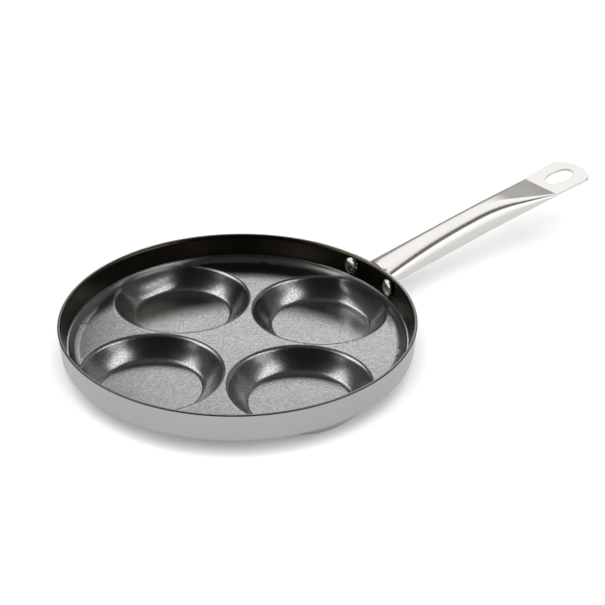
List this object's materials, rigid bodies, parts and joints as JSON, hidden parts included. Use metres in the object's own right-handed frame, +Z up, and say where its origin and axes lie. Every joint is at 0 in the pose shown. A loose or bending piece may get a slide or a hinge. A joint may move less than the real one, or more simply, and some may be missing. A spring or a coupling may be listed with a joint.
{
  "type": "egg pan",
  "caption": "Round frying pan with deep round wells for eggs, a plain upright wall and a long tubular handle pressed flat at the tip, with an oval hanging hole.",
  "frame": {"origin": "centre of the bounding box in plan, at the base: the well bottoms stand at z = 0", "axes": "+X along the handle, from the pan to the tip; +Y to the left of the handle; +Z up"},
  "size_m": [0.4778, 0.26, 0.0612],
  "materials": {
    "aluminium": "satin outside",
    "nonstick_coating": "dark speckled non-stick coating on the inside of the pan",
    "brushed_steel": "satin, brushed along the handle",
    "bracket_steel": "satin",
    "rivet_metal": "polished"
  },
  "bodies": {
    "root": {"pan_body": "aluminium", "handle_tube": "brushed_steel", "handle_bracket": "bracket_steel", "rivet_left": "rivet_metal", "rivet_right": "rivet_metal"}
  },
  "joints": []
}
